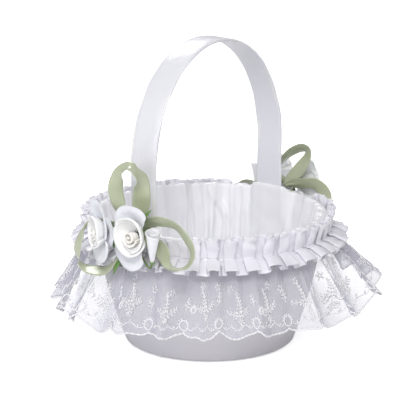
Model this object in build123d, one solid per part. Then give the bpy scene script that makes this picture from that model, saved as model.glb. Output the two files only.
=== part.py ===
from build123d import *
import os
from math import cos, hypot, radians, sin, sqrt

# A satin flower girl basket: a moulded plastic tub dressed in satin, a stiff arched handle
# in a satin sleeve, a pleated ribbon trim over a gathered lace frill, and a spray of wired
# foam roses with a ribbon bow at each foot of the handle.
# Millimetres. The origin is the centre of the base on the table, +Z is up, and the handle
# arches over the X axis. "left" is the -X side and "right" is the +X side.

# ---------------------------------------------------------------- driving dimensions
BASE_RADIUS = 66.2      # satin cover at the table
WAIST = (82.5, 52.0)    # satin cover half way up: radius, height
RIM_RADIUS = 91.0       # satin cover at the rim
RIM_HEIGHT = 102.0
TOTAL_HEIGHT = 239.0
HANDLE_WIDTH = 24.0
TRIM_RIBBON = 38.0      # full width of the pleated ribbon
LACE_DEPTH = 64.0       # length of the lace frill below its heading
GAP = 0.1               # air between layers that only touch

# ---------------------------------------------------------------- layer thicknesses
COVER = 0.5
TUB_WALL = 1.6
TUB_FLOOR = 2.0
LINING_BULK = 6.2       # gathered satin takes up this much room
LINING_SKIN = 0.8
LINING_TURNOVER = 8.0   # how far the lining comes down over the rim
LINING_AT_LEG = (2.2, 6.0)  # lining gathered over a leg: how far inward and outward of it
LINING_LEG_MARGIN = 4.5 # and how far past each edge of the leg
LEG_POCKET = 7.5        # depth of the pocket left free behind a leg
BASE_COVER_RADIUS = 58.0
HEM_INNER_RADIUS = 50.0

# ---------------------------------------------------------------- floor insert
INSERT_RADIUS = 57.0
INSERT_BOARD = 1.5
INSERT_WADDING = 4.0
INSERT_SATIN = 0.5
INSERT_HEM = 12.0       # satin turned under the board
WADDING_ROUND = 2.5     # rounding of the wadding's top edge
SATIN_ROUND = 3.0

# ---------------------------------------------------------------- handle
STRIP_THICK = 2.0
SLEEVE_THICK = 3.0
SLEEVE_SATIN = 0.35
HANDLE_HALF_SPAN = 80.0 # middle of the strip, from the centre of the basket
HANDLE_FOOT_HEIGHT = 40.0
KNEE_HEIGHT = 72.0      # below this the leg leans in and lies along the wall
KNEE_BEND = 40.0
ARCH_START_HEIGHT = 149.0
PAD_LOW = 44.0          # glue pads behind the legs
PAD_HIGH = 70.0
PAD_WIDTH = 16.0
PAD_DEPTH = 6.0
PAD_FOOT = 41.0
GLUE_GAP = 0.02         # the glue all but touches the two pieces it joins
SMALLEST_PAD = 5.0      # offcuts smaller than this many cubic millimetres are dropped

# ---------------------------------------------------------------- trim and lace
STITCH_HEIGHT = 90.0    # the line of stitches that holds the trim and the lace
TRIM_THICK = 1.6
TRIM_WAIST = 1.5        # half height of the flat band along the stitches
TRIM_FLAT_HEIGHT = 9.0  # height above the stitches where the trim lies flat
UPPER_LEAN = 8.0        # degrees the trim's upper half leans out
UPPER_HEIGHT = 15.5     # crumpled height of the upper half
LOWER_FLARE = 50.0      # degrees the trim's lower half stands out
LACE_FLARE = 37.0       # degrees the lace stands out
LACE_THICK = 1.2
LACE_HEADING = (4.0, 2.0)  # upright heading of the lace below and above the stitches
TAPE = 0.5
TAPE_SPAN = (6.0, 3.5)  # tape below and above the stitches
STITCHES = 48
STITCH_LENGTH = 5.0
STITCH_RADIUS = 0.25
STITCH_LIFT = 0.3       # middle of the thread above the trim

# ---------------------------------------------------------------- flower sprays
HUB = (5.0, 108.0)      # where a spray is tied to the handle: sideways, up
LOOPS_START = 94.3      # how far out the bow's loops begin, and where its knot ends
HUB_END = 104.5
BIND_RADIUS = 4.0
PINCH_RADIUS = 2.6
KNOT_LENGTH = 3.0
LOOP_ROOT_RADIUS = 2.2
FLAT_TRIM_HALF = 41.0   # the trim lies flat behind a spray, this far to each side
STEM_RADIUS = 0.7
RIBBON_THICK = 0.9

# A bow loop: centre (sideways, up), radius, nearest and furthest distance out, tilt.
BOW_LOOPS = {
    "left": (
        ((4.0, 145.0), 14.5, LOOPS_START, 104.3, 0.0),
        ((50.0, 108.0), 19.5, LOOPS_START, 104.3, 0.0),
        ((-24.0, 91.0), 17.0, 96.5, 103.5, 21.0),
    ),
    "right": (
        ((-18.0, 133.0), 12.5, LOOPS_START, 104.3, 0.0),
        ((40.0, 93.0), 13.0, 95.2, 101.0, 14.0),
        ((-27.0, 101.0), 12.5, 95.5, 102.5, 10.0),
    ),
}
# A rose: head centre and facing direction as (out, sideways, up), cup radius, the angles of
# its loose outer petals, and where its stem leaves the tie (sideways, up).
FRONT_ROSE = ((118.0, 19.0, 108.5), (1.0, 0.0, 0.0), 14.5, (90, 205, 275), (7.0, 109.0))
SIDE_ROSE = ((114.5, -14.0, 106.0), (0.92, -0.4, 0.0), 12.0, (75, 150, 285), (3.4, 109.0))
# A bud: where its point and its mouth are, as (out, sideways, up).
BUD_TIP = (110.5, 32.5, 92.0)
BUD_MOUTH = (112.0, 37.5, 114.0)
BUD_RADIUS = 5.5
BUD_WALL = 1.0
BUD_TIP_RADIUS = 1.6
BUD_SOLID = 2.0         # the bud is solid this far up from its point
BUD_ROOT = (7.5, 105.5)


# ---------------------------------------------------------------- the wall's bowl curve
def circle_through(first, second, third):
    """Centre and radius of the circle through three points."""
    (ax, ay), (bx, by), (cx, cy) = first, second, third
    twice_area = 2 * (ax * (by - cy) + bx * (cy - ay) + cx * (ay - by))
    a2, b2, c2 = ax**2 + ay**2, bx**2 + by**2, cx**2 + cy**2
    x = (a2 * (by - cy) + b2 * (cy - ay) + c2 * (ay - by)) / twice_area
    y = (a2 * (cx - bx) + b2 * (ax - cx) + c2 * (bx - ax)) / twice_area
    return x, y, hypot(ax - x, ay - y)


BOWL_X, BOWL_Z, BOWL_R = circle_through(
    (BASE_RADIUS, 0.0), WAIST, (RIM_RADIUS, RIM_HEIGHT)
)


def wall_radius(z, inset=0.0):
    """Radius of the wall at height z, on the surface that lies inset inside the cover."""
    return BOWL_X + sqrt((BOWL_R - inset) ** 2 - (z - BOWL_Z) ** 2)


def wall_arc(low, high, inset):
    """The wall's curve between two heights, as an edge in the radius and height plane."""
    heights = (low, (low + high) / 2, high)
    return ThreePointArc(*[(wall_radius(z, inset), z) for z in heights])


def turn(*edges):
    """Closes the edges, drawn as radius and height, and turns them about the Z axis."""
    profile = Plane.XZ * make_face(Wire(edges))
    return revolve(profile, Axis.Z, 360)


def turned_polygon(*points):
    return revolve(Plane.XZ * make_face(Polyline(*points, close=True)), Axis.Z, 360)


def wall_shell(low, high, outer_inset, inner_inset):
    """A layer of the wall between two heights."""
    outer = wall_arc(low, high, outer_inset)
    inner = wall_arc(low, high, inner_inset)
    return turn(outer, Line(outer @ 1, inner @ 1), inner, Line(inner @ 0, outer @ 0))


def upright_band(low, high, offset, thick):
    """A thin band that stands against the outside of the cover."""
    return turned_polygon(
        (wall_radius(low) + offset, low),
        (wall_radius(low) + offset + thick, low),
        (wall_radius(high) + offset + thick, high),
        (wall_radius(high) + offset, high),
    )


ON_BASE = (Align.CENTER, Align.CENTER, Align.MIN)


def disc(radius, low, high):
    return Pos(0, 0, low) * Cylinder(radius, high - low, align=ON_BASE)


def ring(outer, inner, low, high):
    return disc(outer, low, high) - disc(inner, low - 1, high + 1)


# ---------------------------------------------------------------- tub and its satin
BASE_TOP = COVER                                  # top of the satin disc under the base
HEM_LOW = BASE_TOP + GAP
HEM_TOP = HEM_LOW + COVER
TUB_LOW = HEM_TOP + GAP
TUB_FLOOR_TOP = TUB_LOW + TUB_FLOOR
TUB_OUTSIDE = COVER + GAP
TUB_INSIDE = TUB_OUTSIDE + TUB_WALL
LINING_OUTSIDE = TUB_INSIDE + GAP
LINING_INSIDE = LINING_OUTSIDE + LINING_BULK
LINING_FLOOR_TOP = TUB_FLOOR_TOP + GAP + LINING_SKIN


def tub():
    """Moulded plastic bowl: wall and floor in one."""
    outer = wall_arc(TUB_LOW, RIM_HEIGHT, TUB_OUTSIDE)
    inner = wall_arc(TUB_FLOOR_TOP, RIM_HEIGHT, TUB_INSIDE)
    return turn(
        outer,
        Line(outer @ 1, inner @ 1),
        inner,
        Line(inner @ 0, (0, TUB_FLOOR_TOP)),
        Line((0, TUB_FLOOR_TOP), (0, TUB_LOW)),
        Line((0, TUB_LOW), outer @ 0),
    )


def outer_cover():
    """Satin skin outside the tub, with a hem turned under the base."""
    skin = wall_shell(HEM_LOW, RIM_HEIGHT, 0.0, COVER)
    hem = ring(wall_radius(HEM_LOW, COVER) + COVER / 2, HEM_INNER_RADIUS, HEM_LOW, HEM_TOP)
    return skin + hem


def base_cover():
    return disc(BASE_COVER_RADIUS, 0.0, BASE_TOP)


def lining_turnover():
    """The lining's turn over the rim: a flat roll and a short skirt outside."""
    top = RIM_HEIGHT + GAP
    roll_outer = RIM_RADIUS + GAP + COVER
    roll = ring(roll_outer, wall_radius(top, LINING_INSIDE), top, top + LINING_SKIN)
    skirt_low = RIM_HEIGHT - LINING_TURNOVER
    skirt = turned_polygon(
        (wall_radius(skirt_low) + GAP, skirt_low),
        (wall_radius(skirt_low) + GAP + COVER, skirt_low),
        (roll_outer, top + LINING_SKIN),
        (roll_outer - COVER, top + LINING_SKIN),
    )
    return roll + skirt


def lining_over_legs(low):
    """The gathers that cover each leg of the handle, kept inside the tub."""
    inward, outward = LINING_AT_LEG
    half = SLEEVE_THICK / 2
    width = HANDLE_WIDTH + 2 * LINING_LEG_MARGIN
    cover = handle_band(width, half + inward, half + outward, HANDLE_FOOT_HEIGHT - 4)
    top = RIM_HEIGHT + GAP + LINING_SKIN / 2
    mid_lining = LINING_OUTSIDE + LINING_BULK / 2
    return cover & wall_shell(low, top, mid_lining, RIM_RADIUS / 2)


def lining():
    """Gathered satin inside the tub, turned over the rim, with pockets for the handle."""
    low = TUB_FLOOR_TOP + GAP
    bulk = wall_shell(low, RIM_HEIGHT + GAP, LINING_OUTSIDE, LINING_INSIDE)
    hem_outer = wall_radius(LINING_FLOOR_TOP, LINING_INSIDE) + 1
    floor_hem = ring(hem_outer, HEM_INNER_RADIUS, low, LINING_FLOOR_TOP)
    body = bulk + floor_hem + lining_turnover() + lining_over_legs(low)
    snug = SLEEVE_THICK / 2 + GAP
    deep = SLEEVE_THICK / 2 + LEG_POCKET
    slot_width = HANDLE_WIDTH + 4 * GAP
    slot = handle_band(slot_width, snug, snug, HANDLE_FOOT_HEIGHT - 1)
    behind_leg = handle_band(slot_width, snug, deep, HANDLE_FOOT_HEIGHT - 1)
    above_tub = disc(2 * RIM_RADIUS, RIM_HEIGHT, TOTAL_HEIGHT)
    return body - (behind_leg - above_tub) - slot


# ---------------------------------------------------------------- handle
def strip_radius(z):
    """How far out the middle of the strip can stand so its flat back clears the tub."""
    half = HANDLE_WIDTH / 2
    return sqrt(wall_radius(z, TUB_INSIDE) ** 2 - half**2) - GAP - SLEEVE_THICK / 2


ARCH_RISE = TOTAL_HEIGHT - SLEEVE_THICK / 2 - ARCH_START_HEIGHT


def handle_path(foot_height):
    """Middle line of the handle: up the inside of the wall, then an arch over the X axis."""
    foot_reach = KNEE_HEIGHT - HANDLE_FOOT_HEIGHT
    lean = (HANDLE_HALF_SPAN - strip_radius(HANDLE_FOOT_HEIGHT)) / foot_reach
    foot = HANDLE_HALF_SPAN - lean * (KNEE_HEIGHT - foot_height)
    legs = []
    for side in (1, -1):
        leg = FilletPolyline(
            (side * foot, foot_height),
            (side * HANDLE_HALF_SPAN, KNEE_HEIGHT),
            (side * HANDLE_HALF_SPAN, ARCH_START_HEIGHT),
            radius=KNEE_BEND,
        )
        legs.append(leg)
    arch = EllipticalCenterArc(
        (0, ARCH_START_HEIGHT), HANDLE_HALF_SPAN, ARCH_RISE, start_angle=0, arc_size=180
    )
    return Plane.XZ * Wire([*legs[0].edges(), *arch.edges(), *legs[1].edges()])


def handle_band(width, inward, outward, foot_height):
    """A band that follows the handle's middle line, this far inward and outward of it."""
    path = handle_path(foot_height)
    start = Plane(origin=path @ 0, x_dir=(0, 1, 0), z_dir=path % 0)
    # The section's own y axis points out of the arch when its local z runs up the leg.
    shift = (outward - inward) / 2
    side = 1 if start.y_dir.X > 0 else -1
    section = start * Pos(0, side * shift) * Rectangle(width, inward + outward)
    return sweep(section, path)


def handle_strip():
    half = STRIP_THICK / 2
    return handle_band(HANDLE_WIDTH - 2.0, half, half, HANDLE_FOOT_HEIGHT + 1)


def handle_sleeve():
    """Satin tube sewn around the strip."""
    half = SLEEVE_THICK / 2
    room = half - SLEEVE_SATIN
    outside = handle_band(HANDLE_WIDTH, half, half, HANDLE_FOOT_HEIGHT)
    inside = handle_band(HANDLE_WIDTH - 2 * SLEEVE_SATIN, room, room, HANDLE_FOOT_HEIGHT - 1)
    return outside - inside


def handle_glue_pads():
    """Hot-melt pads that hold each foot of the handle to the inside of the tub."""
    outside = TUB_INSIDE + GLUE_GAP
    inside_tub = wall_shell(PAD_LOW - 1, PAD_HIGH + 1, outside, TUB_INSIDE + PAD_DEPTH)
    half = SLEEVE_THICK / 2
    behind = handle_band(HANDLE_WIDTH, half + 10, half + GLUE_GAP, PAD_FOOT)
    middle = (PAD_LOW + PAD_HIGH) / 2
    pads = []
    for side in (1, -1):
        block = Box(HANDLE_HALF_SPAN / 2, PAD_WIDTH, PAD_HIGH - PAD_LOW)
        block = Pos(side * HANDLE_HALF_SPAN, 0, middle) * block
        pad = (block & inside_tub) - behind
        pads += [s for s in pad.solids() if s.volume > SMALLEST_PAD]
    return Compound(pads)


# ---------------------------------------------------------------- trim and lace
TAPE_LOW = STITCH_HEIGHT - TAPE_SPAN[0]
TAPE_TOP = STITCH_HEIGHT + TAPE_SPAN[1]
LACE_RADIUS = wall_radius(TAPE_TOP) + TAPE + 2 * GAP
TRIM_RADIUS = LACE_RADIUS + LACE_THICK + GAP


def heading_tape():
    """Narrow tape that the lace is gathered onto, sewn round the cover."""
    return upright_band(TAPE_LOW, TAPE_TOP, GAP, TAPE)


def flared_band(radius, thick, start, length, angle, up):
    """A cone of fabric that leaves the stitch line at an angle from vertical."""
    reach = length * sin(radians(angle))
    climb = (1 if up else -1) * length * cos(radians(angle))
    return [
        (radius, start),
        (radius + thick, start),
        (radius + thick + reach, start + climb),
        (radius + reach, start + climb),
    ]


def pleated_trim():
    """Pleated ribbon stitched along its middle: the upper half leans out, the lower flares.

    Behind each spray the upper half lies flat against the basket.
    """
    half = TRIM_RIBBON / 2
    outer = TRIM_RADIUS + TRIM_THICK
    top = STITCH_HEIGHT + TRIM_WAIST
    low = STITCH_HEIGHT - TRIM_WAIST
    upper = flared_band(TRIM_RADIUS, TRIM_THICK, top, UPPER_HEIGHT, UPPER_LEAN, True)
    lower = flared_band(TRIM_RADIUS, TRIM_THICK, low, half - TRIM_WAIST, LOWER_FLARE, False)
    behind_spray = Pos(0, 0, top + half / 2) * Box(3 * RIM_RADIUS, 2 * FLAT_TRIM_HALF, half)
    flat = ring(outer, TRIM_RADIUS, low, STITCH_HEIGHT + TRIM_FLAT_HEIGHT)
    middle = ring(outer, TRIM_RADIUS, low, top)
    leaning = turned_polygon(*upper) - behind_spray
    return middle + leaning + turned_polygon(*lower) + (flat & behind_spray)


def lace_frill():
    """Gathered lace: a narrow upright heading, then a wide flare."""
    below, above = LACE_HEADING
    start = STITCH_HEIGHT - below
    flare = flared_band(LACE_RADIUS, LACE_THICK, start, LACE_DEPTH, LACE_FLARE, False)
    upright = ring(LACE_RADIUS + LACE_THICK, LACE_RADIUS, start, STITCH_HEIGHT + above)
    return turned_polygon(*flare) + upright


def trim_stitches():
    """Running stitches that lie on the trim along its middle."""
    out = TRIM_RADIUS + TRIM_THICK + STITCH_LIFT
    thread = Rot(90, 0, 0) * Cylinder(STITCH_RADIUS, STITCH_LENGTH)
    stitch = Pos(out, 0, STITCH_HEIGHT) * thread
    # Half a step of turn keeps the stitches clear of the handle's centre line.
    step = 360 / STITCHES
    return Compound([Rot(0, 0, (i + 0.5) * step) * stitch for i in range(STITCHES)])


# ---------------------------------------------------------------- floor insert
INSERT_LOW = LINING_FLOOR_TOP + GAP
BOARD_LOW = INSERT_LOW + INSERT_SATIN + GAP
WADDING_LOW = BOARD_LOW + INSERT_BOARD + GAP
WADDING_TOP = WADDING_LOW + INSERT_WADDING


def round_top(shape, radius):
    return fillet(shape.faces().sort_by(Axis.Z)[-1].edges(), radius)


def insert_board():
    return disc(INSERT_RADIUS - INSERT_SATIN - GAP, BOARD_LOW, BOARD_LOW + INSERT_BOARD)


def insert_wadding():
    radius = INSERT_RADIUS - INSERT_SATIN - GAP
    pad = disc(radius, WADDING_LOW, WADDING_TOP)
    return round_top(pad, WADDING_ROUND)


def insert_satin():
    """Satin pulled over the wadding and turned under the board."""
    top = WADDING_TOP + GAP + INSERT_SATIN
    outside = disc(INSERT_RADIUS, INSERT_LOW, top)
    outside = round_top(outside, SATIN_ROUND)
    inside = disc(INSERT_RADIUS - INSERT_SATIN, BOARD_LOW - GAP, WADDING_TOP + GAP)
    inside = round_top(inside, WADDING_ROUND)
    opening = disc(INSERT_RADIUS - INSERT_HEM, INSERT_LOW - 1, BOARD_LOW)
    return outside - inside - opening


# ---------------------------------------------------------------- flower sprays
# A spray is drawn at the right foot of the handle, where out is +X and sideways is +Y.
def place(side, shape):
    return shape if side == "right" else Rot(0, 0, 180) * shape


def rod(start, end, radius):
    start, end = Vector(*start), Vector(*end)
    along = Plane(origin=start, z_dir=end - start)
    length = (end - start).length
    return along * Cylinder(radius, length, align=ON_BASE)


def teardrop(root, centre, radius, root_radius):
    """The outline of a ribbon loop: a hull round its root and its wide end."""
    round_end = Pos(*centre) * Circle(radius)
    narrow_end = Pos(*root) * Circle(root_radius)
    return make_hull([*round_end.edges(), *narrow_end.edges()])


def bow_loop(centre, radius, near, far, tilt):
    """One ribbon loop that starts at the tie. It stands between two distances out."""
    flat = teardrop(HUB, centre, radius, LOOP_ROOT_RADIUS)
    hole = teardrop(HUB, centre, radius - RIBBON_THICK, LOOP_ROOT_RADIUS - RIBBON_THICK)
    across = Plane(origin=(near, 0, 0), x_dir=(0, 1, 0), z_dir=(1, 0, 0))
    loop = extrude(across * (flat - hole), far - near)
    hinge = Axis((near, 0, HUB[1]), (0, 1, 0))
    return loop.rotate(hinge, -tilt) if tilt else loop


HANDLE_FACE = HANDLE_HALF_SPAN + SLEEVE_THICK / 2 + GAP


def bow(side):
    """Ribbon bow: loops that meet in a pinch, which runs back to the handle."""
    shape = rod((HANDLE_FACE, *HUB), (HUB_END, *HUB), PINCH_RADIUS)
    shape += rod((HUB_END - KNOT_LENGTH, *HUB), (HUB_END, *HUB), BIND_RADIUS)
    for loop in BOW_LOOPS[side]:
        shape += bow_loop(*loop)
    return shape


def binding():
    """Wire wrapped round the pinch, from the handle out to the loops."""
    outside = rod((HANDLE_FACE, *HUB), (LOOPS_START - GAP, *HUB), BIND_RADIUS)
    return outside - rod((HANDLE_FACE - 1, *HUB), (HUB_END, *HUB), PINCH_RADIUS + GAP)


def rose_frame(centre, facing):
    """Local z is the way the rose faces, local y is up."""
    facing = Vector(*facing).normalized()
    return Plane(origin=centre, x_dir=Vector(0, 0, 1).cross(facing), z_dir=facing)


def cup(outer_radius, depth, wall):
    """A round cup, open at the top, with its rim at z = 0.3 of its depth."""
    rim = 0.3 * depth
    low = rim - depth
    profile = make_face(
        Polyline(
            (0, low),
            (0.28 * outer_radius, low),
            (0.86 * outer_radius, low + 0.55 * depth),
            (outer_radius, rim),
            (outer_radius - wall, rim),
            (0.86 * outer_radius - wall, low + 0.6 * depth),
            (0, low + wall),
            close=True,
        )
    )
    return revolve(Plane.XZ * profile, Axis.Z, 360)


def rose_centre(radius):
    """The rolled heart of the rose."""
    heart = Cone(0.16 * radius, 0.34 * radius, 0.62 * radius)
    return Pos(0, 0, 0.02 * radius) * heart


def loose_petal(radius, angle):
    """A round, dished petal that lies outside the cup."""
    dish, width = 24.0, 0.58 * radius
    shell = Sphere(dish) - Sphere(dish - 0.8)
    patch = shell & (Pos(0, 0, -dish) * Cylinder(width, 10))
    patch = Pos(0, 0, dish) * patch
    return Rot(0, 0, angle) * Pos(0.95 * radius, 0, -0.3 * radius) * Rot(0, -38, 0) * patch


def wire_stem(root, end, facing):
    """A bent wire from the tie to the back of a flower."""
    start = Vector(HUB_END + 4 * GAP + STEM_RADIUS, *root)
    end, facing = Vector(*end), Vector(*facing).normalized()
    sideways = Vector(0, end.Y - start.Y, end.Z - start.Z).normalized()
    path = Spline(start, end, tangents=(sideways, facing))
    section = Plane(origin=path @ 0, z_dir=path % 0) * Circle(STEM_RADIUS)
    return sweep(section, path)


def rose(centre, facing, radius, petal_angles, root):
    """Every piece of one rose, by name."""
    frame = rose_frame(centre, facing)
    depth = 0.8 * radius
    calyx_top = -0.74 * depth
    calyx = Pos(0, 0, calyx_top - 1.0) * Cone(1.2, 0.26 * radius, 2.0)
    bottom = frame.from_local_coords((0, 0, calyx_top - 2.1))
    return {
        "centre": frame * rose_centre(radius),
        "petals": frame * cup(radius, depth, 0.16 * radius),
        "outer_petals": frame * Compound([loose_petal(radius, a) for a in petal_angles]),
        "calyx": frame * calyx,
        "stem": wire_stem(root, tuple(bottom), facing),
    }


def bud():
    """A furled bud: a rolled petal that opens upward, its calyx and its stem."""
    tip, mouth = Vector(*BUD_TIP), Vector(*BUD_MOUTH)
    frame = Plane(origin=tip, z_dir=mouth - tip)
    height = (mouth - tip).length
    roll = Cone(BUD_TIP_RADIUS, BUD_RADIUS, height, align=ON_BASE)
    hollow = Cone(BUD_TIP_RADIUS - BUD_WALL, BUD_RADIUS - BUD_WALL, height, align=ON_BASE)
    calyx_length = 2.5
    calyx = Cone(BUD_TIP_RADIUS / 2, BUD_TIP_RADIUS, calyx_length, align=ON_BASE)
    calyx = Pos(0, 0, -calyx_length - GAP) * calyx
    bottom = frame.from_local_coords((0, 0, -calyx_length - 2 * GAP))
    return {
        "petal": frame * (roll - Pos(0, 0, BUD_SOLID) * hollow),
        "calyx": frame * calyx,
        "stem": wire_stem(BUD_ROOT, tuple(bottom), tuple(frame.z_dir)),
    }


# ---------------------------------------------------------------- write one STEP per node
def nodes():
    made = {
        "tub": tub(),
        "outer_cover": outer_cover(),
        "base_cover": base_cover(),
        "lining": lining(),
        "insert_board": insert_board(),
        "insert_wadding": insert_wadding(),
        "insert_satin": insert_satin(),
        "handle_strip": handle_strip(),
        "handle_sleeve": handle_sleeve(),
        "handle_glue_pads": handle_glue_pads(),
        "lace_heading_tape": heading_tape(),
        "lace_frill": lace_frill(),
        "pleated_trim": pleated_trim(),
        "trim_stitches": trim_stitches(),
    }
    for side in ("left", "right"):
        made[f"{side}_bow"] = place(side, bow(side))
        made[f"{side}_binding"] = place(side, binding())
        for name, numbers in (("front_rose", FRONT_ROSE), ("side_rose", SIDE_ROSE)):
            for piece, shape in rose(*numbers).items():
                made[f"{side}_{name}_{piece}"] = place(side, shape)
        for piece, shape in bud().items():
            made[f"{side}_bud_{piece}"] = place(side, shape)
    return made


os.makedirs("parts", exist_ok=True)
for node_name, node_shape in nodes().items():
    export_step(node_shape, f"parts/{node_name}.step")
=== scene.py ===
import math

import bpy
import numpy as np
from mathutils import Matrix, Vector


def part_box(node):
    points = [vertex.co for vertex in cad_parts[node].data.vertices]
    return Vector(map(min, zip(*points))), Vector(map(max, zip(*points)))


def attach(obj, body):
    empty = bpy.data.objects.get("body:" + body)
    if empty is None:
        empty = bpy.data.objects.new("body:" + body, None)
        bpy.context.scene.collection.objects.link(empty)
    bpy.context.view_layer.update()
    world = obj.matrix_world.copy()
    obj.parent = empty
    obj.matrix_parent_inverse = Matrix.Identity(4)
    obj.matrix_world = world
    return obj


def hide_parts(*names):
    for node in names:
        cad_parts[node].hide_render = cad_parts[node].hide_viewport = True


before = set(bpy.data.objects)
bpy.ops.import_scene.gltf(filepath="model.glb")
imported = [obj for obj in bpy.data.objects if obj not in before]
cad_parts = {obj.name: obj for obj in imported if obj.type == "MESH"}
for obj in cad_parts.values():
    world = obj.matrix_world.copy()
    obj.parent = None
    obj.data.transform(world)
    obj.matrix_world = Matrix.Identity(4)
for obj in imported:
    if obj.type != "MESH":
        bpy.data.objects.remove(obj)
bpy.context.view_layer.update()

# Everything below is worked out in millimetres and turned into metres when a mesh is made.
MM = 0.001
TAU = 2 * math.pi


# ---- sizes from the frame
def box_mm(node):
    low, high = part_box(node)
    return np.array(low) / MM, np.array(high) / MM


def middle(node):
    low, high = box_mm(node)
    return (low + high) / 2


def node_points(node):
    return np.array([v.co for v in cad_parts[node].data.vertices]) / MM


def wall_curve():
    """Radius of the satin cover as a quadratic in height, read off the CAD cover."""
    points = node_points("outer_cover")
    radius, height = np.hypot(points[:, 0], points[:, 1]), points[:, 2]
    keep = {}
    for r, z in zip(radius, height):
        key = round(z, 1)
        keep[key] = max(keep.get(key, 0), r)
    z = np.array([k for k in keep if k > 1.2])
    r = np.array([keep[k] for k in z])
    outer = r > r.min()
    return np.polyfit(z[outer], r[outer], 2)


WALL = wall_curve()
RIM = box_mm("tub")[1][2]
LINING_LOW = box_mm("lining")[0][2]
SLEEVE_LOW, SLEEVE_HIGH = box_mm("handle_sleeve")
SLEEVE_HALF = 1.5    # half the sleeve's thickness
TRIM_HIGH = box_mm("pleated_trim")[1]
LACE_HIGH = box_mm("lace_frill")[1]
TAPE_LOW, TAPE_HIGH = box_mm("lace_heading_tape")
INSERT_LOW, INSERT_HIGH = box_mm("insert_satin")
STITCH_Z = middle("trim_stitches")[2]
STITCH_R = box_mm("trim_stitches")[1][0]


def wall(z):
    return np.polyval(WALL, z)


# ---- small maths
def waves(seed, low, high, count=7):
    """A smooth wobble that repeats once round the basket, about -1 to 1."""
    rng = np.random.default_rng(seed)
    turns = rng.integers(low, high + 1, count)
    phase = rng.uniform(0, TAU, count)
    weight = rng.uniform(0.5, 1.0, count)

    def value(angle):
        angle = np.asarray(angle)[..., None]
        return (weight * np.sin(turns * angle + phase)).sum(-1) / math.sqrt(count)

    return value


def crumple(points, seed, size, count=12):
    """Smooth random ups and downs in space, about -1 to 1, with features of this size."""
    rng = np.random.default_rng(seed)
    k = rng.normal(size=(count, 3))
    k /= np.linalg.norm(k, axis=1)[:, None]
    k *= (TAU / size) * rng.uniform(0.5, 1.5, count)[:, None]
    phase = rng.uniform(0, TAU, count)
    return np.sin(points @ k.T + phase).sum(-1) / math.sqrt(count)


def smooth(t):
    t = np.clip(t, 0, 1)
    return t * t * (3 - 2 * t)


def bump(x, width):
    return np.exp(-((x / width) ** 2))


def turn_gap(angle, centre):
    """Signed angle from centre, between -pi and pi."""
    return (angle - centre + math.pi) % TAU - math.pi


def grid(*layers):
    """One sheet of points or UVs from layers that may be a column, a row or a whole sheet."""
    return np.stack(np.broadcast_arrays(*layers), -1)


def polar(radius, angle, z):
    return grid(radius * np.cos(angle), radius * np.sin(angle), z)


def round_once(count):
    """Angles once round, as a column."""
    return np.linspace(0, TAU, count, endpoint=False)[:, None]


def path_length(path):
    """How far along a path each of its points lies."""
    return np.concatenate([[0], np.cumsum(np.linalg.norm(np.diff(path, axis=0), axis=1))])


def unit(v):
    v = np.asarray(v, float)
    return v / np.linalg.norm(v, axis=-1, keepdims=True)


def spline(points, count):
    """A Catmull-Rom curve through the points; each row may hold more than a position."""
    points = np.asarray(points, float)
    padded = np.vstack([2 * points[0] - points[1], points, 2 * points[-1] - points[-2]])
    t = np.linspace(0, len(points) - 1 - 1e-9, count)
    i = t.astype(int)
    f = (t - i)[:, None]
    a, b, c, d = (padded[i + k] for k in range(4))
    return 0.5 * (2 * b + (c - a) * f + (2 * a - 5 * b + 4 * c - d) * f**2
                  + (3 * b - a - 3 * c + d) * f**3)


def sheet_normals(points, wrap):
    if wrap:
        du = np.roll(points, -1, 0) - np.roll(points, 1, 0)
    else:
        du = np.gradient(points, axis=0)
    dv = np.gradient(points, axis=1)
    return unit(np.cross(du, dv) + 1e-12)


# ---- meshes
def quads(columns, rows, wrap_u=False, wrap_v=False):
    i = np.arange(columns if wrap_u else columns - 1)[:, None]
    j = np.arange(rows if wrap_v else rows - 1)[None, :]
    i2, j2 = (i + 1) % columns, (j + 1) % rows
    return np.stack([i * rows + j, i2 * rows + j, i2 * rows + j2, i * rows + j2], -1).reshape(-1, 4)


def linked(name, data):
    """A new object in the scene."""
    obj = bpy.data.objects.new(name, data)
    bpy.context.scene.collection.objects.link(obj)
    return obj


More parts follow.
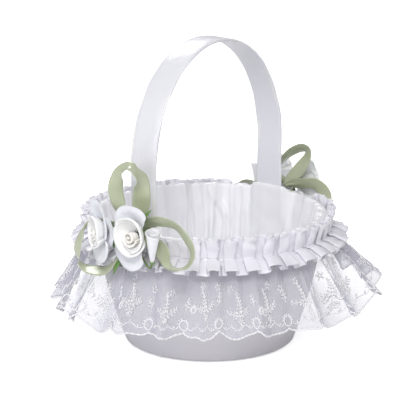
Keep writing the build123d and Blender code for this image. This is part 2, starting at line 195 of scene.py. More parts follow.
class Shape:
    """Collects sheets and tubes into one mesh."""

    def __init__(self):
        self.verts, self.faces, self.uvs, self.count = [], [], [], 0

    def add(self, points, faces, uv=None):
        points = np.asarray(points, float).reshape(-1, 3)
        if uv is None:
            uv = points[:, :2] / 10
        self.verts.append(points)
        self.uvs.append(np.asarray(uv, float).reshape(-1, 2))
        self.faces += [tuple(int(n) + self.count for n in f) for f in faces]
        self.count += len(points)
        return self

    def sheet(self, points, thick, wrap=False, uv=None):
        """A cloth sheet with real thickness: two faces and a rim."""
        columns, rows = points.shape[:2]
        if uv is None:
            uv = grid(np.linspace(0, 1, columns)[:, None], np.linspace(0, 1, rows))
        front = quads(columns, rows, wrap)
        n = columns * rows
        rims = []

        def rim(index):
            a, b = index[:-1], index[1:]
            rims.append(np.stack([a, a + n, b + n, b], -1))

        column = np.arange(columns)
        if wrap:
            column = np.append(column, 0)
        rim(column * rows)
        rim((column * rows + rows - 1)[::-1])
        if not wrap:
            row = np.arange(rows)
            rim(row[::-1])
            rim((columns - 1) * rows + row)
        out = sheet_normals(points, wrap) * thick / 2
        faces = np.concatenate([front, front[:, ::-1] + n, *rims])
        return self.add(np.concatenate([points + out, points - out]), faces,
                        np.concatenate([uv, uv]))

    def skin(self, rings, uv, closed=False):
        """A closed skin over rings of points, with a flat cap at each end unless it is a loop."""
        count, sides = rings.shape[:2]
        faces = [tuple(q) for q in quads(count, sides, closed, True)]
        if not closed:
            last = (count - 1) * sides
            faces += [tuple(range(sides))[::-1], tuple(range(last, last + sides))]
        return self.add(rings, faces, uv)

    def tube(self, path, radius, sides=6, closed=False, up=(0, 0, 1)):
        path = np.asarray(path, float)
        if closed:
            tangent = unit(np.roll(path, -1, 0) - np.roll(path, 1, 0))
        else:
            tangent = unit(np.gradient(path, axis=0))
        side = unit(np.cross(tangent, np.broadcast_to(np.asarray(up, float), path.shape)) + 1e-9)
        other = np.cross(side, tangent)
        angle = np.linspace(0, TAU, sides, endpoint=False)
        radius = np.broadcast_to(radius, len(path))[:, None, None]
        ring = (side[:, None] * np.cos(angle)[None, :, None]
                + other[:, None] * np.sin(angle)[None, :, None])
        uv = grid(np.linspace(0, 1, len(path))[:, None], angle / TAU)
        return self.skin(path[:, None] + radius * ring, uv, closed)

    def make(self, name, material, replaces=None, body="basket", slot=None):
        """Makes the piece. Left pieces belong to the near spray, so they are turned half round.

        The slot argument is not used.
        """
        turn = -1 if name.startswith("left_") else 1
        points = np.concatenate(self.verts) * [turn, turn, 1] * MM
        mesh = bpy.data.meshes.new(name)
        mesh.from_pydata(points.tolist(), [], self.faces)
        layer = mesh.uv_layers.new(name="UVMap")
        loops = np.zeros(len(mesh.loops), np.int32)
        mesh.loops.foreach_get("vertex_index", loops)
        layer.data.foreach_set("uv", np.concatenate(self.uvs)[loops].ravel())
        mesh.polygons.foreach_set("use_smooth", [True] * len(mesh.polygons))
        mesh.materials.append(material)
        mesh.update()
        obj = linked(name, mesh)
        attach(obj, body)
        if replaces:
            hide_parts(replaces)


# ---- materials
class Nodes:
    """Short names for building the nodes of a material, or of another owner such as a world."""

    def __init__(self, name, owner=None, shader="Principled BSDF"):
        self.owner = owner or bpy.data.materials.new(name)
        self.owner.use_nodes = True
        self.tree = self.owner.node_tree
        self.shader = self.tree.nodes[shader]
        self.coords = None

    def put(self, value, socket):
        """Links a node's output to a socket, or sets the socket to a plain value."""
        if isinstance(value, bpy.types.NodeSocket):
            self.tree.links.new(value, socket)
        else:
            socket.default_value = value

    def new(self, kind, **inputs):
        node = self.tree.nodes.new(kind)
        for key, value in inputs.items():
            self.put(value, node.inputs[key.replace("_", " ")])
        return node

    def mapped(self, scale=(1, 1, 1), source="Object", rotation=(0, 0, 0)):
        self.coords = self.coords or self.new("ShaderNodeTexCoord")
        node = self.new("ShaderNodeMapping", Vector=self.coords.outputs[source], Scale=scale,
                        Rotation=rotation)
        return node.outputs[0]

    def noise(self, vector, scale, detail=2.0, roughness=0.5):
        node = self.new("ShaderNodeTexNoise", Vector=vector, Scale=scale, Detail=detail,
                        Roughness=roughness)
        return node.outputs["Fac"]

    def bands(self, vector, scale, distortion=0.0, axis="X"):
        node = self.new("ShaderNodeTexWave", Vector=vector, Scale=scale, Distortion=distortion)
        node.bands_direction = axis
        return node.outputs["Fac"]

    def ramp(self, fac, *stops):
        """Colour between two stops, each a position and a colour."""
        node = self.new("ShaderNodeValToRGB", Fac=fac)
        for point, (position, color) in zip(node.color_ramp.elements, stops):
            point.position = position
            point.color = (*color, 1)
        return node.outputs[0]

    def spread(self, fac, low, high):
        node = self.new("ShaderNodeMapRange", Value=fac, To_Min=low, To_Max=high)
        return node.outputs[0]

    def by_view(self, unseen, seen):
        """One value where light doesn't go straight to the camera, another where it does."""
        path = self.new("ShaderNodeLightPath").outputs["Is Camera Ray"]
        return self.spread(path, unseen, seen)

    def maths(self, operation, *values):
        node = self.tree.nodes.new("ShaderNodeMath")
        node.operation = operation
        for value, socket in zip(values, node.inputs):
            self.put(value, socket)
        return node.outputs[0]

    def relief(self, height, strength, distance, under=None):
        node = self.new("ShaderNodeBump", Height=height, Strength=strength, Distance=distance)
        if under is not None:
            self.put(under, node.inputs["Normal"])
        return node.outputs[0]

    def finish(self, **values):
        for key, value in values.items():
            self.put(value, self.shader.inputs[key.replace("_", " ")])
        return self.owner


def satin(name, light, dark, roughness, crease):
    """Bridal satin: soft sheen, faint creases and a fine weave."""
    n = Nodes(name)
    place = n.mapped()
    stretched = n.mapped((1, 1, 0.35))
    cloud = n.noise(place, 9, 2)
    pulls = n.noise(stretched, 90, 3, 0.6)
    weave = n.bands(n.mapped(rotation=(0.4, 0.7, 0.3)), 900, 1.5)
    colour = n.ramp(cloud, (0.25, dark), (0.75, light))
    normal = n.relief(weave, 0.06, 0.00012, n.relief(pulls, crease, 0.0009))
    return n.finish(
        Base_Color=colour, Roughness=n.spread(cloud, roughness - 0.06, roughness + 0.1),
        Normal=normal, Sheen_Weight=0.25, Sheen_Roughness=0.35, Specular_IOR_Level=0.6,
        Anisotropic=0.4,
    )


def foam(name, light, shade, glow):
    """Thin craft foam: matte, very fine pores and light that soaks in."""
    n = Nodes(name)
    place = n.mapped()
    cloud = n.noise(place, 130, 3)
    pores = n.noise(place, 2600, 2, 0.7)
    colour = n.ramp(cloud, (0.35, shade), (0.65, light))
    normal = n.relief(pores, 0.12, 0.0001, n.relief(cloud, 0.25, 0.0005))
    n.shader.inputs["Subsurface Radius"].default_value = (0.004, 0.004, 0.0038)
    return n.finish(
        Base_Color=colour, Roughness=n.spread(pores, 0.55, 0.75), Normal=normal,
        Subsurface_Weight=glow, Subsurface_Scale=0.6, Sheen_Weight=0.2,
    )


def ribbon_green(name):
    """Sage satin ribbon with fine ribs across it."""
    n = Nodes(name)
    along = n.mapped(source="UV")
    ribs = n.bands(n.mapped(source="UV"), 6, 0.4)
    cloud = n.noise(along, 0.7, 1)
    colour = n.ramp(cloud, (0.3, (0.45, 0.50, 0.33)), (0.7, (0.52, 0.56, 0.39)))
    normal = n.relief(ribs, 0.1, 0.0001)
    return n.finish(
        Base_Color=colour, Roughness=n.spread(cloud, 0.2, 0.27), Normal=normal,
        Sheen_Weight=0.2, Sheen_Roughness=0.3, Specular_IOR_Level=1.0,
    )


def organza(name):
    """Sheer cloth: see-through face on, denser where it turns edge on. Its white is painted
    grey-lavender and darker where it turns edge on, which is painted shade on the cloth and in its
    folds.
    """
    n = Nodes(name)
    weave = n.noise(n.mapped(), 1500, 1)
    cloud = n.noise(n.mapped((1, 1, 0.3)), 60, 3)
    facing = n.new("ShaderNodeLayerWeight", Blend=0.35).outputs["Facing"]
    edge = n.maths("POWER", facing, 1.6)
    cover = n.spread(edge, 0.24, 0.85)
    opacity = n.maths("MULTIPLY_ADD", cloud, 0.1, cover)
    # Painted shade: a grey-lavender colour that turns darker and more lavender where the cloth is
    # edge on, as in its folds.
    colour = n.ramp(edge, (0.02, (0.70, 0.70, 0.76)), (0.5, (0.50, 0.49, 0.60)))
    return n.finish(
        Base_Color=colour, Alpha=opacity, Roughness=n.spread(weave, 0.45, 0.6),
        Normal=n.relief(weave, 0.1, 0.0002), Sheen_Weight=0.4,
    )


def thread(name, colour, twist, glow=0.0):
    """Embroidery or sewing thread with a visible twist. Glow is a painted glow, an emission that
    brightens the thread.
    """
    n = Nodes(name)
    lay = n.bands(n.mapped(rotation=(0.5, 0.5, 0.5)), twist, 2.0)
    # Painted shade: the grooves of the twist are coloured a tenth darker.
    dark = tuple(c * 0.9 for c in colour)
    return n.finish(
        Base_Color=n.ramp(lay, (0.2, dark), (0.7, colour)), Roughness=n.spread(lay, 0.4, 0.6),
        Normal=n.relief(lay, 0.5, 0.0002), Sheen_Weight=0.4,
        # Painted light: the thread glows in its own colour.
        Emission_Color=(*colour, 1), Emission_Strength=glow,
    )


def plain(name, light, dark, roughness, scale, grain=0.2, depth=0.0004):
    """A quiet solid stuff, such as moulded plastic, board or glue."""
    n = Nodes(name)
    cloud = n.noise(n.mapped(), scale, 4, 0.6)
    return n.finish(
        Base_Color=n.ramp(cloud, (0.3, dark), (0.7, light)),
        Roughness=n.spread(cloud, roughness - 0.05, roughness + 0.08),
        Normal=n.relief(cloud, grain, depth),
    )


def leaf(name):
    """Green cloth leaf, lighter between its veins."""
    n = Nodes(name)
    veins = n.bands(n.mapped(source="UV"), 9, 1.0, "Y")
    colour = n.ramp(veins, (0.2, (0.10, 0.22, 0.05)), (0.7, (0.24, 0.42, 0.12)))
    return n.finish(Base_Color=colour, Roughness=n.spread(veins, 0.45, 0.6),
                    Normal=n.relief(veins, 0.3, 0.0004))


# These are one white bridal satin in four tones. The outer cover's and the handle's copies are
# painted darker and more lavender, which is painted shade on those parts.
WHITE_OUTER = satin("satin_outer", (0.73, 0.715, 0.75), (0.70, 0.685, 0.72), 0.3, 0.2)
WHITE_LINING = satin("satin_lining", (0.93, 0.93, 0.95), (0.87, 0.87, 0.90), 0.22, 0.6)
WHITE_HANDLE = satin("satin_handle", (0.78, 0.78, 0.82), (0.75, 0.75, 0.79), 0.3, 0.9)
WHITE_RIBBON = satin("satin_ribbon", (0.88, 0.87, 0.91), (0.83, 0.82, 0.88), 0.24, 0.4)
SAGE = ribbon_green("sage_ribbon")
LACE = organza("organza")
# The embroidery thread has a faint painted glow that brightens it.
STITCH = thread("lace_embroidery_thread", (0.94, 0.94, 0.96), 1400, 0.09)
COTTON = thread("cotton", (0.88, 0.88, 0.88), 700)
FOAM_WHITE = foam("foam_white", (0.96, 0.96, 0.95), (0.92, 0.92, 0.90), 0.25)
FOAM_PALE = foam("foam_pale", (0.84, 0.86, 0.89), (0.80, 0.82, 0.87), 0.3)
# The white foam tinted cream for the rolled heart, as painted warm shade deep in the cup.
FOAM_HEART_SHADE = foam("foam_cream", (0.96, 0.95, 0.91), (0.92, 0.90, 0.83), 0.25)
FOAM_BUD = foam("foam_bud", (0.90, 0.90, 0.93), (0.86, 0.86, 0.91), 0.3)
LEAF = leaf("leaf_green")
WIRE = plain("wire_green", (0.20, 0.28, 0.11), (0.13, 0.20, 0.07), 0.6, 900, 0.6)
TUB = plain("tub_plastic", (0.82, 0.82, 0.80), (0.78, 0.78, 0.76), 0.4, 60)
STRIP = plain("strip_plastic", (0.85, 0.85, 0.83), (0.8, 0.8, 0.78), 0.45, 80)
BOARD = plain("board", (0.55, 0.50, 0.40), (0.46, 0.41, 0.32), 0.8, 400, 0.5)
WADDING = plain("wadding", (0.88, 0.88, 0.88), (0.78, 0.78, 0.78), 0.95, 300, 0.9, 0.002)
GLUE = plain("glue", (0.82, 0.78, 0.66), (0.74, 0.70, 0.58), 0.3, 120)


# ---- body of the basket
SEAM_ANGLE = math.radians(187)


def outer_cover():
    """Satin pulled tight over the tub: a seam near one foot and soft drag lines by the base."""
    edge = 1.8
    bend = np.linspace(0, math.pi / 2, 6)[1:]
    up = RIM - 0.4 - (RIM - 2.4) * np.linspace(0, 1, 46)
    radius = np.concatenate([wall(up), wall(2.0) - edge + edge * np.cos(bend), [60, 54, 50.5]])
    height = np.concatenate([up, 2.4 - 1.6 * np.sin(bend), [0.8, 0.8, 0.8]])
    angle = round_once(320)
    low = smooth(1 - height / 60)
    drag = waves(11, 9, 23)(angle) * 0.32 + waves(12, 3, 7)(angle) * 0.5
    seam = turn_gap(angle, SEAM_ANGLE + 0.0012 * (height - 20))
    crease = 1.5 * smooth((seam + 0.18) / 0.16) * (1 - smooth((seam + 0.01) / 0.05))
    crease = crease * smooth(1 - height / 75)
    shift = np.clip(0.25 + (drag * 0.45 + crease) * (0.25 + 0.75 * low), -0.05, 3.0)
    points = polar(radius - 0.35 + shift * (height > 1.6), angle, height)
    cover = Shape().sheet(points, 0.4, True, grid(angle * 9, height / 10))
    cover.make("satin_body", WHITE_OUTER, "outer_cover")


def base_cover():
    radius = box_mm("base_cover")[1][0]
    rings = np.concatenate([[0.4], np.linspace(6, radius - 0.6, 12), [radius]])
    angle = round_once(120)
    lift = 0.04 * waves(21, 5, 17)(angle) * (rings / radius)
    disc = Shape().sheet(polar(rings, angle, 0.27 + lift)[:, ::-1], 0.42, True)
    disc.make("satin_base", WHITE_OUTER, "base_cover")


# Drag folds in the lining start at the rim and fan out: angle, lean.
DRAGS = ((0.6, 0.10), (1.5, -0.08), (2.55, 0.12), (3.9, -0.1), (5.2, 0.09))
# Pulls near one leg slant down from the rim, then drop straight: angle at the rim, angle lower
# down (degrees), size.
PULLS = ((37.5, 28.5, 0.55), (43, 42, 0.5), (52, 48, 0.5))


def lining_folds(angle, level):
    """Soft upright gathers: how far each point stands in from the wall, 0 to 1.25."""
    rng = np.random.default_rng(31)
    count = 46
    centres = (np.arange(count) + rng.uniform(-0.36, 0.36, count)) * TAU / count
    widths = rng.uniform(0.020, 0.050, count)
    heights = rng.uniform(0.25, 1.0, count)
    slants = rng.uniform(-0.05, 0.05, count)
    starts = rng.uniform(-0.3, 0.45, count)
    total = 0.32 + 0.1 * waves(32, 4, 12)(angle) + 0 * level
    for centre, width, height, slant, start in zip(centres, widths, heights, slants, starts):
        gap = turn_gap(angle, centre + slant * (level - 0.5))
        reach = smooth((level - start) / 0.3) if start > 0 else 1.0
        total = total + 0.62 * height * reach * bump(gap, width)
    for centre, lean in DRAGS:
        gap = turn_gap(angle, centre + lean * (1 - level))
        total = total + 0.4 * bump(gap, 0.022) * smooth((level - 0.25) / 0.3)
    for top, foot, size in PULLS:
        path = np.radians(np.interp(level, (0.5, 0.78, 0.98), (foot, foot, top)))
        total = total + size * bump(turn_gap(angle, path), 0.026) * smooth((level - 0.35) / 0.2)
    return np.clip(total, 0, 1.25)


def leg_gap(angle):
    """Angle from the nearer leg of the handle."""
    return np.minimum(np.abs(turn_gap(angle, 0)), np.abs(turn_gap(angle, math.pi)))


def leg_cover(angle, z, level, fold):
    """The satin drawn tight over a leg's flat face: its share here, and its depth."""
    gap = np.minimum(leg_gap(angle), 0.6)
    line, _ = handle_line()
    half = line[: len(line) // 2]
    face = np.interp(z, half[:, 1], half[:, 0]) - SLEEVE_HALF - 1.0
    spread = 7.0 + 5.0 * (1 - level)
    share = smooth((SLEEVE_HIGH[1] + 1.5 + spread - face * np.tan(gap)) / spread)
    return share, np.maximum(wall(z) - face / np.cos(gap), 3.0) + 0.8 * fold


def lining():
    """Gathered satin inside, over the rim and a little way down outside."""
    floor_z, edge_z = LINING_LOW + 0.5, RIM - 0.4
    level = np.linspace(0, 1, 44)
    z_in = floor_z + 1.5 + (RIM - 1.0 - floor_z - 1.5) * level
    angle = round_once(560)
    fold = lining_folds(angle, level)
    depth = 2.2 + 8.6 * fold * (0.45 + 0.55 * np.sin(math.pi * (0.15 + 0.75 * level)))
    leg, over_leg = leg_cover(angle, z_in, level, fold)
    depth = depth * (1 - leg) + leg * over_leg
    drawn_up = 7.0 * leg * smooth((level - 0.6) / 0.4)
    inside = polar(wall(z_in) - depth, angle, z_in + drawn_up)
    start = wall(floor_z + 1.5) - depth[:, :1]
    floor = polar(50.5 + (start - 52.0) * np.array([0, 0.5, 0.97]), angle,
                  floor_z + np.array([0, 0, 0.3]))
    # Over the rim, with fine puckers where the gathers are caught.
    arc = np.linspace(0.12, 0.95, 9) * math.pi
    pucker = 0.35 * waves(33, 60, 110, 9)(angle) + 0.25 * waves(34, 18, 40)(angle)
    inner_r, outer_r = wall(RIM) - depth[:, -1:], wall(RIM) + 0.7
    lift = (0.9 + 0.9 * fold[:, -1:] + 0.5 * pucker) * (1 - 0.5 * leg[:, -1:])
    roll = polar((inner_r + outer_r) / 2 - (outer_r - inner_r) / 2 * np.cos(arc), angle,
                 edge_z + (0.6 + lift) * np.sin(arc)
                 + drawn_up[:, -1:] * (1 - smooth(np.linspace(0, 1.6, 9))))
    down = np.linspace(0, 1, 6)[1:]
    skirt_z = edge_z - 7.6 * down
    skirt = polar(wall(skirt_z) + 0.55 + 0.18 * pucker * (1 - 0.3 * down), angle, skirt_z)
    points = np.concatenate([floor, inside, roll, skirt], 1)
    fine = crumple(points, 35, 16) * 0.35 + crumple(points, 36, 6) * 0.08
    points = points + sheet_normals(points, True) * fine[..., None]
    uv = grid(angle * 9, np.linspace(0, 12, points.shape[1]))
    cloth = Shape().sheet(points, 0.4, True, uv)
    cloth.make("satin_lining", WHITE_LINING, "lining")


def floor_insert():
    """Padded floor: satin pulled over wadding, puckered where it turns under the board."""
    radius, low, top = INSERT_HIGH[0], INSERT_LOW[2], INSERT_HIGH[2]
    angle = round_once(240)
    pucker = waves(41, 40, 70, 9)(angle)
    flat = np.linspace(0.3, radius - 3.2, 16)
    bend = np.linspace(0, math.pi / 2, 7)[1:]
    r = np.concatenate([flat, radius - 3.2 + 3.0 * np.sin(bend), [radius - 0.2] * 2,
                        [radius - 0.6, radius - 4, radius - 11.5]])
    z = np.concatenate([top - 0.9 + 0.7 * np.cos(flat / radius * math.pi / 2),
                        top - 0.9 - 2.2 + 2.2 * np.cos(bend), [low + 2.4, low + 1.0],
                        [low + 0.3, low + 0.25, low + 0.25]])
    rim = smooth((r - radius * 0.55) / (radius * 0.45))
    points = polar(r - 0.15 * pucker * rim, angle, z)
    top_side = z > low + 2.5
    points[..., 2] -= 0.16 * (1 + pucker) * rim * top_side
    points[..., 2] -= 0.2 * np.abs(crumple(points, 42, 28)) * top_side
    cover = Shape().sheet(points[:, ::-1], 0.4, True)
    cover.make("satin_floor", WHITE_LINING, "insert_satin", "floor_insert")

    pad_low, pad_high = box_mm("insert_wadding")
    flat = np.linspace(0.3, pad_high[0] - 2.4, 12)
    r = np.concatenate([flat, pad_high[0] - 2.4 + 2.2 * np.sin(bend), [pad_high[0] - 0.2]])
    z = np.concatenate([0 * flat + pad_high[2] - 0.5,
                        pad_high[2] - 2.6 + 2.1 * np.cos(bend), [pad_low[2] + 0.3]])
    points = polar(r, angle, z)
    points[..., 2] -= 0.2 * np.abs(crumple(points, 43, 9)) * (z > pad_low[2] + 1)
    loop = np.concatenate([points, polar(r[::-1], angle, pad_low[2] + 0.05)], 1)
    pad = Shape().add(loop, quads(*loop.shape[:2], True, True))
    pad.make("wadding_pad", WADDING, "insert_wadding", "floor_insert")


# ---- handle
def handle_line(count=200):
    """Middle line of the handle from foot to foot, as x and z, and the length along it."""
    span = SLEEVE_HIGH[0] - SLEEVE_HALF
    top = SLEEVE_HIGH[2] - SLEEVE_HALF
    foot_z = SLEEVE_LOW[2]
    points = node_points("handle_sleeve")
    foot_x = points[(points[:, 2] < foot_z + 1.0) & (points[:, 0] > 0)][:, 0].mean()
    upright = points[points[:, 0] > SLEEVE_HIGH[0] - 0.02, 2]
    bend = 3.0
    arch_z, knee_z = upright.max(), upright.min() - bend
    start = np.array([foot_x, foot_z])
    corner = np.array([span, knee_z])
    knee = corner + (start - corner) / np.linalg.norm(start - corner) * bend
    over = np.array([span, knee_z + bend])
    t = np.linspace(0, 1, 8)[:, None]
    curve = (1 - t) ** 2 * knee + 2 * t * (1 - t) * corner + t**2 * over
    leg = np.concatenate([np.linspace(start, knee, 12)[:-1], curve,
                          np.linspace(over, [span, arch_z], 20)[1:-1]])
    a = np.linspace(0, math.pi / 2, 60)
    half = np.concatenate([leg, grid(span * np.cos(a), arch_z + (top - arch_z) * np.sin(a))])
    full = np.concatenate([half, (half * [-1, 1])[-2::-1]])
    step = path_length(full)
    at = np.linspace(0, step[-1], count)
    return grid(np.interp(at, step, full[:, 0]), np.interp(at, step, full[:, 1])), at


def handle_sleeve():
    """Satin tube on a stiff strip: rounded edges, slanting pulls and a seam inside."""
    line, along = handle_line()
    tangent = unit(np.gradient(line, axis=0))
    out_x, out_z = tangent[:, 1:2], -tangent[:, 0:1]
    width = SLEEVE_HIGH[1]
    a = np.linspace(0, TAU, 36, endpoint=False)
    across = np.sign(np.cos(a)) * np.abs(np.cos(a)) ** 0.55
    through = np.sign(np.sin(a)) * np.abs(np.sin(a)) ** 0.75
    edge = 1 + 0.012 * np.sin(along / 9.0) + 0.01 * np.sin(along / 4.1 + 1)
    y = width * across * edge[:, None]
    n = SLEEVE_HALF * through
    # Pulls run slantwise over the face, as the sleeve is twisted slightly on its strip.
    along = along[:, None]
    slant = along / 21.0 + y / 9.0
    pull = 0.3 * np.sin(slant * 1.7) * np.sin(along / 37.0 + 1.1) ** 2
    pull += 0.18 * np.sin(slant * 3.3 + 2) * np.sin(along / 23.0) ** 2
    pull += 0.14 * np.sin(along / 6.0 + 0.5 * np.sin(y / 4)) * bump(np.abs(y) - width, 4)
    seam = -0.35 * bump(y - 3, 0.9) * (n < 0)
    n = n + pull * np.sign(n) + seam
    sleeve = Shape().skin(grid(line[:, 0:1] + out_x * n, y, line[:, 1:2] + out_z * n),
                          grid(along / 10, a))
    sleeve.make("handle_satin", WHITE_HANDLE, "handle_sleeve")


# ---- pleated trim
PLEATS = 42
FACE = 4.3          # half the front face of a pleat
TRIM_BELOW = 16.4   # how far the ribbon reaches below its stitches


def mirrored(half):
    """A whole section from its left half, which ends at the middle."""
    half = np.array(half, float)
    return np.concatenate([half, half[-2::-1] * [-1, 1]])


def pleat_sections(pitch, face, tuck):
    """Across one pleat, sideways and outward: shut at the stitches and open at the edges."""
    shut = mirrored([[-pitch / 2, 0], [-tuck - 1, 0], [-tuck, 0.35], [-tuck - 0.3, 0.8],
                     [-face + 0.4, 1.1], [-face, 1.5], [-face + 0.5, 1.9], [0, 2.2]])
    wide = mirrored([[-pitch / 2, -1.2], [-tuck - 1.8, -1.1], [-tuck - 1.2, -0.4],
                     [-tuck - 1.5, 0.9], [-face - 0.3, 2.3], [-face - 0.5, 3.0], [-face, 3.5],
                     [0, 4.2]])
    return spline(shut, 31)[:-1, None], spline(wide, 31)[:-1, None]


def pleated_trim():
    """Box-pleated satin ribbon, caught along its middle; both edges stand away."""
    rng = np.random.default_rng(51)
    above = TRIM_HIGH[2] - STITCH_Z - 1.0
    v = np.concatenate([np.linspace(-1, -0.06, 12), [0.0], np.linspace(0.06, 1, 12)])
    lower = v < 0
    base_r = STITCH_R - 1.2
    pitch = TAU / PLEATS * base_r
    columns = []
    for k in range(PLEATS):
        centre = (k + 0.5 + rng.uniform(-0.10, 0.10)) * TAU / PLEATS
        face = FACE * rng.uniform(0.88, 1.1)
        lift = rng.uniform(0.8, 1.25)
        twist = rng.uniform(-1, 1)
        lean_up, lean_low = rng.uniform(-9, 10), rng.uniform(-9, 7)
        shut, wide = pleat_sections(pitch, face, face - rng.uniform(1.8, 2.6))
        open_by = (np.abs(v) ** 1.3 * lift)[:, None]
        cross = shut * (1 - open_by) + wide * open_by
        inner = bump(shut[..., 0] / face, 1.15)
        spot = centre + (cross[..., 0] + 0.9 * twist * v * inner) / base_r
        # Behind a flower spray the upper edge stands straighter and closer.
        flat = smooth((0.50 - leg_gap(centre)) / 0.12)
        angle = np.radians(np.where(lower, 60.0 + lean_low * inner,
                                    (8.0 + lean_up * inner) * (1 - flat) + 1.0 * flat))
        arc = np.abs(v) * np.where(lower, TRIM_BELOW, above * (1 - 0.2 * flat))
        arc = arc * (1 + 0.04 * inner * np.where(lower, lean_low, lean_up) / 6)
        ease = np.clip(arc / 5.0, 0, 1) ** 0.8
        stand = cross[..., 1] * np.where(lower, 1, 1 - 0.55 * flat)
        r = base_r + arc * np.sin(angle) * ease + stand * np.cos(angle)
        z = STITCH_Z + arc * np.cos(angle * ease) * np.where(lower, -1, 1)
        columns.append(polar(r, spot, z + stand * np.sin(angle) * np.where(lower, 1, -1)))
    points = np.concatenate(columns)
    upper = smooth((v - 0.1) / 0.9)
    rumple = (crumple(points, 52, 8) * 0.95 * upper
              + crumple(points, 53, 13) * 0.8 * np.abs(v) ** 1.4
              + 0.25 * crumple(points, 54, 5) * bump(v, 0.3))
    points = points + sheet_normals(points, True) * rumple[..., None]
    points[..., 2] += 0.5 * crumple(points, 55, 9) * upper
    uv = grid(np.linspace(0, 90, len(points))[:, None], v * 1.9)
    trim = Shape().sheet(points, 0.32, True, uv)
    trim.make("pleated_ribbon", WHITE_RIBBON, "pleated_trim")


def heading_tape():
    angle = round_once(360)
    z = np.linspace(TAPE_LOW[2] + 0.2, TAPE_HIGH[2] - 0.2, 6)
    points = polar(wall(z) + 0.34 + 0.08 * waves(61, 90, 140, 9)(angle), angle, z)
    tape = Shape().sheet(points[:, ::-1], 0.34, True)
    tape.make("heading_tape", COTTON, "lace_heading_tape", slot="tape")


def stitches():
    """Each stitch dips at its ends, where the thread goes through the ribbon."""
    count, half = 48, 2.5
    shape = Shape()
    t = np.linspace(-1, 1, 9)
    for k in range(count):
        angle = (k + 0.5) * TAU / count + t * half / STITCH_R
        shape.tube(polar(STITCH_R - 0.1 - 0.5 * t**4, angle, STITCH_Z + 0.25 * t), 0.24)
    shape.make("trim_stitching", STITCH, "trim_stitches", slot="thread")


# ---- lace
SCALLOPS = 26
CLOTH = 1040.0              # length of the gathered cloth round the hem
LACE_TOP = LACE_HIGH[2] - 0.6
LACE_R = wall(LACE_TOP) + 1.1
LACE_LENGTH = 66.0
# How far the lace stands out from vertical, at angles round the basket (degrees).
FLARE = ((37, 35), (90, 31), (127, 26), (152, 31), (190, 31), (217, 20), (245, 22), (275, 33),
         (307, 44), (345, 40))


def periodic(table, angle):
    """Reads a table of angles in degrees and values, which closes on itself."""
    at, value = np.array(table, float).T
    at = np.radians(at)
    at = np.concatenate([at - TAU, at, at + TAU])
    return np.interp(np.mod(angle, TAU), at, np.tile(value, 3))


def lace_folds(count=21):
    """Where each ruffle of the lace ends and how high it is: uneven, but it closes on itself."""
    rng = np.random.default_rng(71)
    width = rng.uniform(0.6, 1.4, count)
    return np.concatenate([[0], np.cumsum(width)]) / width.sum(), rng.uniform(0.55, 1.0, count)


FOLD_EDGE, FOLD_HEIGHT = lace_folds()


def scallop(u):
    """Length of the lace at this place round it, from 0 to 1."""
    deep = 6.0
    return LACE_LENGTH - deep + deep * np.sin(math.pi * np.mod(u * SCALLOPS, 1)) ** 0.75


def lace(u, s):
    """Point of the lace at u round it (0 to 1) and s millimetres down from its heading."""
    u, s = np.asarray(u, float), np.asarray(s, float)
    wrapped = np.mod(u, 1)
    cell = np.clip(np.searchsorted(FOLD_EDGE, wrapped, side="right") - 1, 0, len(FOLD_HEIGHT) - 1)
    f = (wrapped - FOLD_EDGE[cell]) / (FOLD_EDGE[cell + 1] - FOLD_EDGE[cell])
    after = FOLD_HEIGHT[(cell + 1) % len(FOLD_HEIGHT)]
    height = FOLD_HEIGHT[cell] * (1 - f) + after * f
    angle = wrapped * TAU
    # The lace hangs a little shorter where it faces the camera.
    s = s * (1 - 0.075 * bump(turn_gap(angle, math.radians(225)), 0.6))
    down = np.clip((s - 3) / (LACE_LENGTH - 3), 0, 1)
    flare_deg = periodic(FLARE, angle)
    calm = 0.45 + 0.55 * smooth((flare_deg - 20) / 14)
    reach = 9.0 * calm * down**1.25
    fine = 0.5 * waves(72, 55, 95, 9)(angle) * np.sqrt(np.clip(s / 8, 0, 1)) * (1 - 0.8 * down)
    middle_fold = 2.4 * waves(73, 26, 44, 7)(angle) * down**0.8 * (1 - 0.5 * down)
    flare = np.radians(flare_deg) * smooth(s / 14) ** 0.5
    stand = reach * (np.cos(TAU * f) * height) + fine + middle_fold
    swing = -0.62 * reach * (np.sin(TAU * f) * height) * (1 + 0.4 * np.sin(3 * angle))
    radius = LACE_R + s * np.sin(flare) + stand * np.cos(flare)
    z = LACE_TOP - s * np.cos(flare) + stand * np.sin(flare)
    z = z - 1.2 * down**2 * np.sin(2.3 * TAU * f)
    return polar(radius, angle + swing / np.maximum(radius, 1), z)


def lace_normal(u, s):
    e = 0.0004
    du = lace(u + e, s) - lace(u - e, s)
    ds = lace(u, s + 0.4) - lace(u, s - 0.4)
    return unit(np.cross(ds, du))


def lace_sheet():
    columns, rows = 1248, 40
    u = np.linspace(0, 1, columns, endpoint=False)[:, None]
    s = np.linspace(0, 1, rows) * scallop(u)
    cloth = Shape().sheet(lace(u, s), 0.16, True, grid(u * CLOTH / 10, s / 10))
    cloth.make("lace_organza", LACE, "lace_frill", slot="lace")


